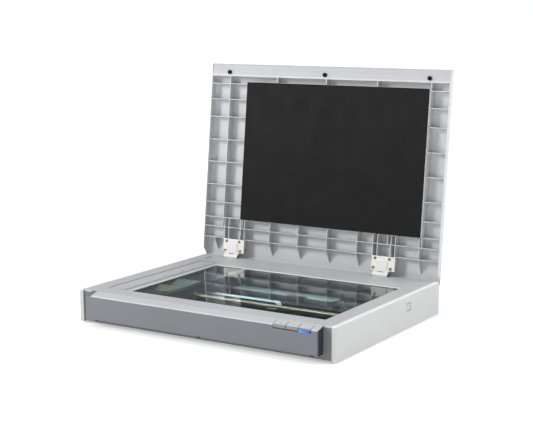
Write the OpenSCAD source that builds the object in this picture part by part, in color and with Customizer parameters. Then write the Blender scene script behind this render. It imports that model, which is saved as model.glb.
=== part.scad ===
// Large-format flatbed document scanner, shown with its lid open.
// Body frame, in millimetres: x from the left side, y from the front of the side panels
// towards the hinges, z up from the table. The closed lid is drawn first and then opened.

/* [Base] */
// Width over the two side panels
body_w = 580; // [576:1:584]
// Depth of the side panels, front to rear
body_d = 434; // [432:1:436]
// Height of the top face above the table
body_h = 68.2; // [67:0.1:70]
// Thickness of each side panel
panel_t = 8.5; // [7:0.5:9]
// Height of the rubber feet below the housing floor
foot_h = 4.5; // [4:0.1:5]
// Wall thickness of the moulded housing
wall = 2.5; // [2:0.1:3]

/* [Platen] */
// Left edge of the glass opening
glass_x = 97; // [96:1:98]
// Front edge of the glass opening
glass_y = 38; // [37:1:39]
// Width of the glass opening
glass_w = 440; // [438:1:442]
// Depth of the glass opening
glass_d = 302; // [300:1:303]
// Thickness of the platen glass
glass_t = 3; // [2.5:0.5:3]

/* [Control bar] */
// How far the bar stands out in front of the side panels
bar_out = 18; // [16:1:20]
// Left end of the bar
bar_x = 30; // [28:1:32]
// Right end of the bar
bar_end = 553; // [551:1:555]
// Height of the bar's front top edge
bar_edge_h = 62.6; // [62:0.1:63]
// Height of the bar's underside
bar_low_h = 14.5; // [13:0.5:16]
// Number of push buttons
button_count = 3; // [3:1:3]
// Travel of a push button
button_travel = 0.8; // [0.5:0.1:0.8]

/* [Lid] */
// Angle of the open lid, measured from closed
lid_open = 96; // [90:1:96]
// Thickness of the lid
lid_t = 22; // [20:1:24]
// Gap between the closed lid's rim and the top face
rim_gap = 3.5; // [3.3:0.1:3.7]
// Thickness of the lid's moulded skin
lid_skin = 2.2; // [2:0.1:2.5]
// Thickness of the stiffening ribs
rib_t = 1.6; // [1.2:0.1:2]

/* [Scan drive] */
// Diameter of the guide rod
rod_d = 8; // [6:1:8]
// Module of the drive gears
gear_module = 0.6; // [0.6:0.1:0.6]
// Teeth on the drive gear
drive_teeth = 76; // [76:1:76]
// Teeth on the motor pinion
pinion_teeth = 12; // [12:1:12]

/* [Hidden] */
$fn = 48;
eps = 0.01;
gap = 0.3;                          // clearance between pieces that move past each other
fit = 0.05;                         // radial clearance of a running fit

// Heights of the base
panel_z = 2.5;                      // underside of the side panels
plate_t = 4;                        // top frame thickness
plate_z = body_h - plate_t;
floor_z = foot_h + wall;            // inside of the housing floor
glass_lip = 1.4;                    // frame thickness over the glass edge
tape_t = 0.4;
glass_top = body_h - glass_lip - tape_t;
glass_low = glass_top - glass_t;
wall_y = 3;                         // outer face of the front wall
back_y = body_d - 2.5;              // outer face of the rear wall
in_x0 = panel_t + wall;             // inside faces of the housing
in_x1 = body_w - panel_t - wall;
in_y0 = wall_y + wall;
in_y1 = back_y - wall;

// Glass and its frame rebate
glass_left = 28;                    // glass hidden under the left of the frame
glass_edge = 7;                     // glass hidden under the other three sides
glass_x1 = glass_x + glass_w;
glass_y1 = glass_y + glass_d;

// Hinge
hinge_y = 426;
hinge_z = body_h + 2.3;
hinge_x = [79, 451];
barrel_r = 5.5;
barrel_half = 17.5;                 // half length of the whole three-knuckle barrel
knuckle_half = 6;                   // half length of the leg's middle knuckle
pin_r = 2.5;
pin_head_r = 4;
pin_head_t = 2.5;
leg_w = 26;
leg_y0 = 418.9;
leg_y1 = 428.1;
notch_y = leg_y0 - 0.4;             // front edge of the frame's notches round the legs
leg_z0 = 14;
socket_wall = 2;
bracket_left = 23;                  // bracket plate, left and right of the hinge
bracket_right = 31;

// Lid, closed
rim_z = body_h + rim_gap;
lid_top = rim_z + lid_t;
lid_front = -2.5;
lid_back = 436;
lid_r = 11;                         // rounding of the lid's top edges
rib_z = rim_z + 1;                  // lower edges of the ribs
crest = 428.1;                      // y of the rim line that meets the top face when open
mat_z = body_h + gap;               // face of the document mat when closed
mat_t = 0.8;
rear_cut = 12;                      // rim cut back at the hinge end
rows = [41.5, 66, 87, 120.5, 160.5, 211.5, 261.5, 312.5, 351.5, 386.5];
low_rib_x = 29;                     // first short upright rib and their pitch
low_rib_pitch = 72;
top_rib_x = 50;
top_rib_pitch = 122;
hinge_ribs = [-24, -13, 18, 28];
bumper_x = [48.5, 290.5, 534];
bumper_row = 411.8;

// Control bar
bar_t = 2.2;
strip_t = 2.4;
strip_x = 43;                       // left end of the light strip on the bar
button_x = 462;
button_w = 25.1;
button_pitch = 26.1;
button_gap = button_pitch - button_w;
button_low = [56.5, 56.5, 59.2];    // lower edges of the three button skirts
button_back = -3.4;
pocket_z = 54.7;                    // floor of the pocket that holds the buttons
board_top = 44;
switch_top = board_top + 4.7;

// Guide rod and carriage at its parked-for-view position
rod_y = 147;
rod_z = 46.2;
car_x0 = 96;
car_x1 = 176;
car_y0 = 26;
car_y1 = 360;
car_low = 37;
car_high = 58;
bushing_r = 7;
sensor_x0 = 156;
sensor_x1 = 174;
sensor_low = 53.6;
sensor_high = 62;
shield_y = [93, 157];               // front edges of the two inclined perforated sheets
carriage_t = 2.2;                   // wall of the carriage tray
web_top = 50;                       // top of its cross webs

home_x = 18;                        // corner of the home sensor
home_y = 366;
flag_x = car_x0 + 2;

// Belt drive
belt_y = 172;
belt_low = 25.5;
belt_high = 31.5;
pulley_r = 6.5;
belt_t = 1;
belt_in = pulley_r + gap;
drive_x = 543;
idler_x = 24;
gear_r = gear_module * drive_teeth / 2;
pinion_r = gear_module * pinion_teeth / 2;
motor_y = belt_y + gear_r + pinion_r;
motor_r = 17.5;
plate_low = 15.5;
plate_high = 17;
gear_low = 9.5;
gear_high = 13.5;
post_r = 2;                         // fixed pins of the pulleys
tensioner_x = 48;                   // end of the belt tensioner
spring_end_x = 66;

// Sockets in the rear wall, left edges
port_z = 30.5;                      // height of the middle of all three
usb_x = 478;
usb_w = 12;
inlet_x = 500;
inlet_w = 10;
switch_x = 524;
switch_w = 14;
port_half = 5.7;                    // half height of the sockets
switch_half = 8.7;
rocker_half = 4.8;                  // half height of the rocker
rocker_pin_r = 1.2;
rocker_throw = 21.4;                // angle between the rocker's two faces

// Main board on the housing floor
board_x0 = 170;
board_x1 = 430;
board_y0 = 182;
board_y1 = 380;
board_low = 12;
board_high = 13.6;

// Flat cable from the carriage to the board
ribbon_t = 0.4;
ribbon_y0 = 210;
ribbon_y1 = 226;
ribbon_bend = 7.7;
ribbon_z = 28.7;                    // height of the middle of its turn
ribbon_turn_x = 324;
ribbon_end_x = 300;
ribbon_clamp_x = 174;               // right face of the clamp under the carriage

// Whole part, for the origin under the middle of the open scanner's footprint
skirt_out = 0.2;                    // button skirts stand this far in front of the bar
edge_y = lid_front + lid_r - hinge_y;
edge_z = lid_top - lid_r - hinge_z;
open_back = hinge_y + edge_y * cos(lid_open) + edge_z * sin(lid_open) + lid_r;
mid_y = (open_back - bar_out - skirt_out) / 2;

// ---------- helpers ----------

// Puts a piece drawn in the body frame into the row frame
module placed() {
    translate([-body_w / 2, -mid_y, 0]) children();
}

// Turns a piece drawn on the closed lid about the hinge pins to the open lid
module opened() {
    placed()
        translate([0, hinge_y, hinge_z]) rotate([-lid_open, 0, 0])
            translate([0, -hinge_y, -hinge_z]) children();
}

module slab(x0, y0, z0, x1, y1, z1) {
    translate([x0, y0, z0]) cube([x1 - x0, y1 - y0, z1 - z0]);
}

module post(x, y, z0, z1, r) {
    translate([x, y, z0]) cylinder(h = z1 - z0, r = r);
}

module bar_x_axis(x0, x1, y, z, r) {
    translate([x0, y, z]) rotate([0, 90, 0]) cylinder(h = x1 - x0, r = r);
}

module bar_y_axis(x, y0, y1, z, r) {
    translate([x, y1, z]) rotate([90, 0, 0]) cylinder(h = y1 - y0, r = r);
}

// Extrudes a (y, z) outline along x
module along_x(x0, x1) {
    translate([x0, 0, 0]) rotate([90, 0, 90]) linear_extrude(height = x1 - x0) children();
}

// Extrudes an (x, z) outline along y
module along_y(y0, y1) {
    translate([0, y1, 0]) rotate([90, 0, 0]) linear_extrude(height = y1 - y0) children();
}

module rounded_rect(x0, y0, x1, y1, r) {
    translate([x0 + r, y0]) square([x1 - x0 - 2 * r, y1 - y0]);
    translate([x0, y0 + r]) square([x1 - x0, y1 - y0 - 2 * r]);
    for (x = [x0 + r, x1 - r], y = [y0 + r, y1 - r])
        translate([x, y]) circle(r = r);
}

// Section with two rounded top corners
module arch(a0, a1, z0, z1, r) {
    translate([a0, z0]) square([a1 - a0, z1 - r - z0]);
    translate([a0 + r, z0]) square([a1 - a0 - 2 * r, z1 - z0]);
    for (a = [a0 + r, a1 - r])
        translate([a, z1 - r]) circle(r = r);
}

// Trapezoid-tooth spur gear outline, a tooth centred on +x unless half a pitch is added
function gear_points(teeth, m, tip, root, slack) =
    [for (i = [0 : teeth - 1], k = [0 : 3])
        let (pitch_a = 360 / teeth,
             r_p = m * teeth / 2,
             half_tip = (m * 0.42) / r_p * 180 / PI,
             half_root = (m * 1.12 - slack / 2) / r_p * 180 / PI,
             a = i * pitch_a + [-half_root, -half_tip, half_tip, half_root][k],
             r = (k == 0 || k == 3) ? r_p - root : r_p + tip)
        [r * cos(a), r * sin(a)]];

// Round wire along a path, as one closed skin
module wire(path, r, sides = 8) {
    count = len(path);
    function heading(i) =
        let (a = path[max(i - 1, 0)], b = path[min(i + 1, count - 1)], d = b - a) d / norm(d);
    function across(t) =
        let (u = abs(t[2]) < 0.9 ? cross(t, [0, 0, 1]) : cross(t, [1, 0, 0])) u / norm(u);
    rings = [for (i = [0 : count - 1])
                let (t = heading(i), u = across(t), v = cross(t, u))
                for (k = [0 : sides - 1])
                    path[i] + r * (cos(360 * k / sides) * u + sin(360 * k / sides) * v)];
    sides_faces = [for (i = [0 : count - 2], k = [0 : sides - 1], half = [0, 1])
                      let (n = (k + 1) % sides, a = i * sides, b = (i + 1) * sides)
                      half == 0 ? [a + k, a + n, b + n] : [a + k, b + n, b + k]];
    start_cap = [[for (k = [sides - 1 : -1 : 0]) k]];
    end_cap = [[for (k = [0 : sides - 1]) (count - 1) * sides + k]];
    polyhedron(points = rings, faces = concat(sides_faces, start_cap, end_cap), convexity = 4);
}

// ---------- housing ----------

foot_spots = [for (x = [30, body_w / 2, body_w - 30], y = [24, 408]) [x, y]];
screw_spots = [for (x = [20, 200, 380, body_w - 20], y = [14, 388]) [x, y]];

module leg_socket(x) {
    slab(x - leg_w / 2 - gap - socket_wall, leg_y0 - gap - socket_wall, floor_z - eps,
         x + leg_w / 2 + gap + socket_wall, in_y1 + eps, plate_z);
}

module leg_socket_hole(x) {
    slab(x - leg_w / 2 - gap, leg_y0 - gap, leg_z0 - 2, x + leg_w / 2 + gap, leg_y1 + gap, plate_z + 1);
}

module port_opening(x, w, half) {
    slab(x - 0.4, in_y1 - 1, port_z - half - 0.4, x + w + 0.4, back_y + 1, port_z + half + 0.4);
}

module lower_housing() {
    color([0.33, 0.34, 0.36]) placed() difference() {
        union() {
            difference() {
                slab(panel_t, wall_y, foot_h, body_w - panel_t, back_y, plate_z);
                slab(in_x0, in_y0, floor_z, in_x1, in_y1, plate_z + 1);
            }
            for (p = screw_spots)
                post(p[0], p[1], floor_z - eps, plate_z, 4.5);
            for (x = hinge_x)
                leg_socket(x);
            // post that holds the belt spring's free end
            slab(spring_end_x, belt_y - 6, floor_z - eps, spring_end_x + 4, belt_y + 6, floor_z + 12);
            // floor stiffening ribs
            for (x = [180 : 120 : 540])
                slab(x, in_y0 - eps, floor_z - eps, x + 1.5, 140, floor_z + 5);
            for (y = [60, 110])
                slab(in_x0 - eps, y, floor_z - eps, in_x1 + eps, y + 1.5, floor_z + 5);
        }
        for (x = hinge_x)
            leg_socket_hole(x);
        for (p = screw_spots) {
            post(p[0], p[1], foot_h - 1, plate_z - 4, 1.8);
            post(p[0], p[1], foot_h - 1, foot_h + 2, 4);
        }
        // rear openings for the sockets and the switch
        port_opening(usb_x, usb_w, port_half);
        port_opening(inlet_x, inlet_w, port_half);
        port_opening(switch_x, switch_w, switch_half);
    }
}

module top_frame() {
    bevel = 1.2;
    groove = 1.3;
    line = 1.7;
    scale_x = 41.5;
    scale_x1 = 84.5;
    scale_y1 = glass_y1 + 20;
    color([0.8, 0.81, 0.82]) placed() difference() {
        slab(panel_t, wall_y, plate_z, body_w - panel_t, body_d, body_h);
        slab(glass_x, glass_y, plate_z - 1, glass_x1, glass_y1, body_h + 1);
        hull() {
            slab(glass_x, glass_y, body_h - glass_lip + 0.3,
                 glass_x1, glass_y1, body_h - glass_lip + 0.31);
            slab(glass_x - bevel, glass_y - bevel, body_h,
                 glass_x1 + bevel, glass_y1 + bevel, body_h + 0.1);
        }
        slab(glass_x - glass_left - 1, glass_y - glass_edge - 1, plate_z - 1,
             glass_x1 + glass_edge + 1, glass_y1 + glass_edge + 1, body_h - glass_lip);
        // outline of the paper-size scale on the left
        slab(scale_x, glass_y, body_h - groove, scale_x + line, scale_y1, body_h + 1);
        slab(scale_x, scale_y1 - line, body_h - groove, scale_x1, scale_y1, body_h + 1);
        slab(scale_x1 - 0.8, glass_y, body_h - 0.6, scale_x1, scale_y1, body_h + 1);
        slab(34.5, 385, body_h - groove, 34.5 + line, 412, body_h + 1);
        // line that parts the bar from the frame
        slab(strip_x, wall_y, body_h - groove, bar_end, wall_y + 0.9, body_h + 1);
        // clearance round the hinge legs and their brackets
        for (x = hinge_x)
            slab(x - 20.5, notch_y, plate_z - 1, x + 20.5, body_d + 1, body_h + 1);
    }
}

// Snap-in cover in the right side panel
cover_y0 = 283;
cover_y1 = 303;
cover_z0 = 37.5;
cover_z1 = 52.5;
cover_gap = 0.7;

module side_panel_form() {
    round_r = 2.5;
    color([0.82, 0.83, 0.83]) placed() intersection() {
        along_x(0, panel_t)
            rounded_rect(0, panel_z, body_d, body_h, round_r);
        along_y(-1, body_d + 1) union() {
            square([panel_t, body_h - round_r]);
            translate([round_r, 0]) square([panel_t - round_r, body_h]);
            translate([round_r, body_h - round_r]) circle(r = round_r);
        }
    }
}

module left_side_panel() {
    side_panel_form();
}

module right_side_panel() {
    color([0.82, 0.83, 0.83]) difference() {
        mirror([1, 0, 0]) side_panel_form();
        placed() slab(body_w - 1.5, cover_y0, cover_z0, body_w + 1, cover_y1, cover_z1);
    }
}

module side_cover() {
    color([0.8, 0.81, 0.81]) placed()
        slab(body_w - 1.5, cover_y0 + cover_gap, cover_z0 + cover_gap,
             body_w - 0.5, cover_y1 - cover_gap, cover_z1 - cover_gap);
}

module platen_glass() {
    color([0.6, 0.75, 0.75, 0.35]) placed()
        slab(glass_x - glass_left, glass_y - glass_edge, glass_low,
             glass_x1 + glass_edge, glass_y1 + glass_edge, glass_top);
}

module glass_tape() {
    inner = 1.5;
    color([0.12, 0.12, 0.12]) placed() difference() {
        slab(glass_x - glass_left, glass_y - glass_edge, glass_top,
             glass_x1 + glass_edge, glass_y1 + glass_edge, glass_top + tape_t);
        slab(glass_x - glass_left + 4, glass_y - inner, glass_top - 1,
             glass_x1 + inner, glass_y1 + inner, glass_top + 1);
    }
}

module calibration_strip() {
    color([0.95, 0.95, 0.94]) placed()
        slab(glass_x - 23, glass_y - 1, glass_top, glass_x - 3, glass_y1 + 1, glass_top + 0.2);
}

// ---------- control bar ----------

function bar_slope(y) = bar_edge_h + (y + bar_out) * (body_h - bar_edge_h) / (wall_y + bar_out);

// Space round the three buttons and the light lens
module button_pocket() {
    slab(button_x - button_gap, -bar_out - 1, pocket_z, button_x + button_count * button_pitch,
         button_back + 0.4, body_h + 1);
}

// Small chamfer on the bar's right front corner
module corner_cut() {
    side = 2.8;
    translate([bar_end, -bar_out, body_h / 2]) rotate([0, 0, 45])
        cube([side, side, 2 * body_h], center = true);
}

module front_bar() {
    color([0.54, 0.55, 0.58]) placed() difference() {
        union() {
            difference() {
                along_x(bar_x, bar_end) polygon([[wall_y, bar_low_h], [-bar_out + 1.2, bar_low_h],
                    [-bar_out, bar_low_h + 1.2], [-bar_out, bar_edge_h - strip_t],
                    [wall_y, body_h - strip_t]]);
                along_x(bar_x + bar_t, bar_end - bar_t) polygon([[wall_y + 1, bar_low_h + bar_t],
                    [-bar_out + bar_t, bar_low_h + bar_t],
                    [-bar_out + bar_t, bar_edge_h - strip_t - bar_t],
                    [wall_y + 1, body_h - strip_t - bar_t]]);
            }
            // left end block beside the light strip
            along_x(bar_x, strip_x)
                polygon([[wall_y, body_h - strip_t - 1], [-bar_out, bar_edge_h - strip_t - 1],
                    [-bar_out, bar_edge_h - 0.6], [wall_y, body_h - 0.6]]);
            // board supports
            for (x = [452, 540])
                slab(x, -bar_out + 1, board_top - 6, x + 4, wall_y, board_top - 1.6);
        }
        // pocket for the buttons and the light lens
        button_pocket();
        corner_cut();
        // recesses over the three clips
        for (x = [52, 295, 538])
            slab(x - 0.5, -bar_out - 1, bar_low_h - 1, x + 6.5, -bar_out + 3, bar_low_h + 1.4);
    }
}

module bar_top_strip() {
    color([0.82, 0.83, 0.84]) placed() difference() {
        along_x(strip_x, bar_end) polygon([[wall_y - 0.4, bar_slope(wall_y - 0.4) - strip_t],
            [-bar_out, bar_edge_h - strip_t], [-bar_out, bar_edge_h - 0.8],
            [-bar_out + 0.8, bar_slope(-bar_out + 0.8)], [wall_y - 0.4, bar_slope(wall_y - 0.4)]]);
        button_pocket();
        corner_cut();
    }
}

module led_lens() {
    x0 = button_x + 2 * button_pitch;
    color([0.1, 0.5, 0.95]) placed()
        slab(x0, -bar_out + 0.1, pocket_z, x0 + button_w - 0.4, -bar_out + 2, 58);
}

module bar_clips() {
    color([0.12, 0.12, 0.13]) placed() for (x = [52, 295, 538])
        slab(x, -bar_out + 0.6, bar_low_h - 1.5, x + 6, -bar_out + 3, bar_low_h + 1.4);
}

module button_board() {
    color([0.1, 0.35, 0.2]) placed()
        slab(450, -bar_out + 3, board_top - 1.6, 548, wall_y - 1, board_top);
}

module button_switches() {
    color([0.15, 0.15, 0.16]) placed() for (i = [0 : button_count - 1]) {
        x = button_x + i * button_pitch + button_w / 2;
        slab(x - 3, -13, board_top, x + 3, -7, board_top + 3.5);
        post(x, -10, board_top + 3.5 - eps, switch_top, 1.7);
    }
}

module push_button(i) {
    x0 = button_x + i * button_pitch;
    x1 = x0 + button_w;
    skin = 2;
    low = button_low[i];
    color([0.82, 0.83, 0.84]) placed() union() {
        along_x(x0, x1) polygon([[button_back, bar_slope(button_back) - skin],
            [-bar_out + skin, bar_slope(-bar_out + skin) - skin], [-bar_out + skin, low],
            [-bar_out - skirt_out, low], [-bar_out - skirt_out, bar_edge_h - 0.6],
            [-bar_out + 0.8, bar_slope(-bar_out + 0.8) + 0.1],
            [button_back, bar_slope(button_back) + 0.1]]);
        slab((x0 + x1) / 2 - 2, -12, switch_top + button_travel + 0.4,
             (x0 + x1) / 2 + 2, -8, bar_slope(-10) - 1);
    }
}

module button_1() { push_button(0); }
module button_2() { push_button(1); }
module button_3() { push_button(2); }

// ---------- feet and screws ----------

module rubber_feet() {
    color([0.13, 0.13, 0.13]) placed() for (p = foot_spots)
        post(p[0], p[1], 0, foot_h, 8);
}

module housing_screws() {
    color([0.6, 0.6, 0.6]) placed() for (p = screw_spots) {
        post(p[0], p[1], foot_h + 0.2, foot_h + 2, 3.4);
        post(p[0], p[1], foot_h + 2 - eps, foot_h + 30, 1.75);
    }
}

// ---------- scan carriage ----------

module guide_rod() {
    color([0.78, 0.76, 0.72]) placed()
        bar_x_axis(in_x0 + 1, in_x1 - 1, rod_y, rod_z, rod_d / 2);
}

module rod_holders() {
    seat_t = 6;
    color([0.2, 0.2, 0.21]) placed() for (x = [in_x0 + 0.5, in_x1 - 0.5 - seat_t]) difference() {
        slab(x, rod_y - 8, floor_z, x + seat_t, rod_y + 8, rod_z + 7);
        bar_x_axis(x - 1, x + seat_t + 1, rod_y, rod_z, rod_d / 2);
    }
}

module carriage_frame() {
    t = carriage_t;
    color([0.16, 0.16, 0.17]) placed() difference() {
        union() {
            difference() {
                slab(car_x0, car_y0, car_low, car_x1, car_y1, car_high);
                slab(car_x0 + t, car_y0 + t, car_low + t, car_x1 - t, car_y1 - t, car_high + 1);
            }
            // cross webs and the sensor trough
            for (y = [shield_y[0], shield_y[1], 260, 310])
                slab(car_x0 + 1, y, car_low + 1, car_x1 - 1, y + t, web_top);
            bar_x_axis(car_x0, car_x1, rod_y, rod_z, bushing_r + 2);
            // clamp for the flat cable
            slab(ribbon_clamp_x - 8, ribbon_y0 - 1, ribbon_z + ribbon_bend - 1.4,
                 ribbon_clamp_x, ribbon_y1 + 1, car_low + 1);
            // flag that enters the home sensor
            slab(flag_x, car_y1 - 1, 46.5, flag_x + 8, home_y + 7, 48);
            slab(flag_x, home_y + 5, 40, flag_x + 8, home_y + 7, 48);
        }
        slab(sensor_x0 - 0.4, car_y0 + t + 1, 51, sensor_x1 + 0.3, car_y1 - t - 1, car_high + 1);
        bar_x_axis(car_x0 - 1, car_x1 + 1, rod_y, rod_z, bushing_r);
    }
}

module rod_bushings() {
    color([0.72, 0.55, 0.3]) placed() for (x = [car_x0, car_x1 - 12]) difference() {
        bar_x_axis(x, x + 12, rod_y, rod_z, bushing_r);
        bar_x_axis(x - 1, x + 13, rod_y, rod_z, rod_d / 2 + fit);
    }
}

module carriage_cover() {
    front_y1 = shield_y[0] + 3;
    rear_y0 = shield_y[1] + 46;
    color([0.14, 0.14, 0.15]) placed() for (y = [[car_y0, front_y1], [rear_y0, car_y1]])
        slab(car_x0, y[0], car_high, sensor_x0 - 1, y[1], car_high + 1.2);
}

// Two inclined sheets full of round holes, each with its foot on a cross web
module perforated_shield() {
    t = 1;
    tilt = 17;
    foot = 4;
    lip = 3;
    run = 36;
    rise = run * tan(tilt);
    slope = run / cos(tilt);
    hole_r = 2.3;
    across = 6.4;                   // hole spacing along x
    drop = 1.6;                     // how much lower each next column sits
    up = 7.2;                       // hole spacing up the slope
    columns = 8;
    rows = 6;
    x0 = car_x0 + 3;
    x1 = sensor_x0 - 1.6;
    color([0.62, 0.64, 0.64]) placed() for (y = shield_y) difference() {
        along_x(x0, x1) polygon([[y, web_top], [y + foot, web_top], [y + foot + run, web_top + rise],
            [y + foot + run + lip, web_top + rise], [y + foot + run + lip, web_top + rise + t],
            [y + foot + run - t / 4, web_top + rise + t], [y + foot - t / 4, web_top + t],
            [y, web_top + t]]);
        translate([x0, y + foot, web_top]) rotate([tilt, 0, 0])
            for (i = [0 : columns - 1], j = [1 : rows]) {
                v = up * j - drop * i;
                if (v > hole_r + 1.4 && v < slope - hole_r - 1)
                    translate([5 + i * across, v, -t])
                        cylinder(h = 3 * t, r = hole_r, $fn = 24);
            }
    }
}

module sensor_module() {
    color([0.1, 0.1, 0.11]) placed() difference() {
        slab(sensor_x0, car_y0 + 4, sensor_low, sensor_x1, car_y1 - 4, sensor_high);
        slab(sensor_x0 + 3, glass_y + 3, sensor_low + 4, sensor_x1 - 3, glass_y1 - 3, sensor_high + 1);
    }
}

module sensor_window() {
    color([0.7, 0.8, 0.8, 0.4]) placed()
        slab(sensor_x0 + 1, glass_y + 0.5, sensor_high, sensor_x1 - 1, glass_y1 - 0.5, sensor_high + 0.6);
}

module light_guide() {
    color([0.95, 0.97, 1]) placed()
        bar_y_axis(sensor_x0 + 6, glass_y + 4, glass_y1 - 4, sensor_high - 1.8, 1.6);
}

module glass_sliders() {
    color([0.9, 0.9, 0.88]) placed() for (y = [glass_y - 5, glass_y1])
        slab(sensor_x0 + 3, y, sensor_high, sensor_x1 - 3, y + 5, glass_low - gap);
}

spring_turns = 5;
module sensor_springs() {
    z0 = car_low + carriage_t;
    z1 = sensor_low;
    color([0.7, 0.71, 0.72]) placed() for (y = [car_y0 + 10, car_y1 - 10]) {
        steps = spring_turns * 12;
        wire([for (i = [0 : steps])
            [(sensor_x0 + sensor_x1) / 2 + 3 * cos(i * 30), y + 3 * sin(i * 30),
             z0 + 0.4 + (z1 - z0 - 0.8) * i / steps]], 0.4, 6);
    }
}

module belt_clamp() {
    slot = belt_t + 2 * gap;
    mid = belt_y - belt_in - belt_t / 2;
    x0 = car_x0 + 32;
    x1 = x0 + 16;
    color([0.16, 0.16, 0.17]) placed() difference() {
        slab(x0, mid - 4, belt_low - 2, x1, mid + 4, car_low);
        slab(x0 - 1, mid - slot / 2, belt_low - gap, x1 + 1, mid + slot / 2, belt_high + gap);
    }
}

// ---------- drive ----------

module belt_outline(r) {
    translate([idler_x, belt_y - r]) square([drive_x - idler_x, 2 * r]);
    for (x = [idler_x, drive_x])
        translate([x, belt_y]) circle(r = r);
}

module drive_belt() {
    color([0.08, 0.08, 0.08]) placed() translate([0, 0, belt_low])
        linear_extrude(height = belt_high - belt_low) difference() {
            belt_outline(belt_in + belt_t);
            belt_outline(belt_in);
        }
}

module idler_pulley() {
    color([0.85, 0.85, 0.82]) placed() difference() {
        union() {
            post(idler_x, belt_y, belt_low, belt_high, pulley_r);
            post(idler_x, belt_y, belt_low - 1.3, belt_low - gap, pulley_r + 2);
            post(idler_x, belt_y, belt_low - gap - eps, belt_low + eps, pulley_r);
        }
        post(idler_x, belt_y, belt_low - 3, belt_high + 1, post_r + fit);
    }
}

module belt_tensioner() {
    color([0.2, 0.2, 0.21]) placed() union() {
        slab(in_x0 + 2, belt_y - 9, floor_z, tensioner_x, belt_y + 9, floor_z + 4);
        post(idler_x, belt_y, floor_z + 4 - eps, belt_low - 2, 5);
        post(idler_x, belt_y, belt_low - 2 - eps, belt_high + 1, post_r);
        slab(tensioner_x - 4, belt_y - 6, floor_z + 4 - eps, tensioner_x, belt_y + 6, floor_z + 12);
    }
}

module tension_spring() {
    steps = 8 * 12;
    color([0.7, 0.71, 0.72]) placed()
        wire([for (i = [0 : steps])
            [tensioner_x + 0.5 + (spring_end_x - tensioner_x - 1) * i / steps,
             belt_y + 2.6 * cos(i * 30), floor_z + 8 + 2.6 * sin(i * 30)]], 0.4, 6);
}

module motor_bracket() {
    x0 = 519;
    x1 = 560;
    y0 = 146;
    y1 = 222;
    leg_in = 2.2;
    color([0.65, 0.66, 0.67]) placed() difference() {
        union() {
            slab(x0, y0, plate_low, x1, y1, plate_high);
            for (x = [x0 + leg_in, x1 - leg_in], y = [y0 + leg_in, y1 - leg_in])
                post(x, y, floor_z, plate_low + eps, 1.5);
        }
        post(drive_x, belt_y, plate_low - 1, plate_high + 1, 5.6);
        post(drive_x, motor_y, plate_low - 1, plate_high + 1, 3);
    }
}

module stepper_motor() {
    color([0.55, 0.56, 0.57]) placed() difference() {
        union() {
            post(drive_x, motor_y, plate_high, plate_high + 17.5, motor_r);
            slab(drive_x - 21, motor_y - 4, plate_high, drive_x + 21, motor_y + 4, plate_high + 1);
        }
        post(drive_x, motor_y, plate_high - 1, plate_high + 14, 1 + fit);
    }
}

module motor_pinion() {
    color([0.75, 0.62, 0.3]) placed() union() {
        translate([drive_x, motor_y, gear_low - 0.2])
            rotate([0, 0, -90 + 180 / pinion_teeth])
                linear_extrude(height = gear_high - gear_low + 0.4)
                    polygon(gear_points(pinion_teeth, gear_module, 0.4, 0.65, 0.3));
        post(drive_x, motor_y, gear_high, plate_high + 12, 1);
    }
}

module drive_gear() {
    color([0.88, 0.87, 0.82]) placed() difference() {
        union() {
            translate([drive_x, belt_y, gear_low]) rotate([0, 0, 90])
                linear_extrude(height = gear_high - gear_low)
                    polygon(gear_points(drive_teeth, gear_module, 0.4, 0.65, 0.3));
            post(drive_x, belt_y, gear_high - eps, belt_low + eps, 5);
            post(drive_x, belt_y, belt_low, belt_high, pulley_r);
            post(drive_x, belt_y, belt_low - 1.3, belt_low - gap, pulley_r + 2);
        }
        post(drive_x, belt_y, gear_low - 1, belt_high + 1, post_r + fit);
    }
}

module gear_pin() {
    color([0.75, 0.75, 0.76]) placed() union() {
        post(drive_x, belt_y, floor_z, gear_low - gap, 4);
        post(drive_x, belt_y, floor_z, belt_high + 1.5, post_r);
    }
}

// ---------- electronics ----------

module main_board() {
    color([0.1, 0.32, 0.2]) placed() union() {
        slab(board_x0, board_y0, board_low, board_x1, board_y1, board_high);
        for (x = [board_x0 + 6, board_x1 - 6], y = [board_y0 + 6, board_y1 - 6])
            post(x, y, floor_z, board_low + eps, 3);
    }
}

module board_chips() {
    color([0.1, 0.1, 0.11]) placed() {
        slab(210, 335, board_high, 234, 359, board_high + 2);
        slab(260, 340, board_high, 276, 356, board_high + 1.6);
        slab(330, 340, board_high, 350, 352, board_high + 2);
        slab(230, 225, board_high, 250, 245, board_high + 2);
        for (x = [300, 380, 400])
            post(x, 368, board_high, board_high + 10, 4);
        // connector at the end of the flat cable
        slab(ribbon_end_x - 8, ribbon_y0 - 1, board_high,
             ribbon_end_x, ribbon_y1 + 1, ribbon_z - ribbon_bend + 1.4);
    }
}

module board_cover() {
    t = 1.5;
    color([0.35, 0.38, 0.38]) placed() difference() {
        slab(175, 282, board_high, 416, 318, 34.2);
        slab(175 + t, 282 + t, board_high - 1, 416 - t, 318 - t, 34.2 - t);
        slab(307, 280, 22, 352, 296, 35);
    }
}

// Flat cable from the carriage to the board: one long loop under the glass
module ribbon_cable() {
    color([0.85, 0.92, 0.95]) placed() along_y(ribbon_y0, ribbon_y1) union() {
        translate([ribbon_clamp_x, ribbon_z + ribbon_bend - ribbon_t])
            square([ribbon_turn_x - ribbon_clamp_x, ribbon_t]);
        translate([ribbon_turn_x, ribbon_z]) difference() {
            circle(r = ribbon_bend);
            circle(r = ribbon_bend - ribbon_t);
            translate([-2 * ribbon_bend, -2 * ribbon_bend]) square([2 * ribbon_bend, 4 * ribbon_bend]);
        }
        translate([ribbon_end_x, ribbon_z - ribbon_bend]) square([ribbon_turn_x - ribbon_end_x, ribbon_t]);
    }
}

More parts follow.
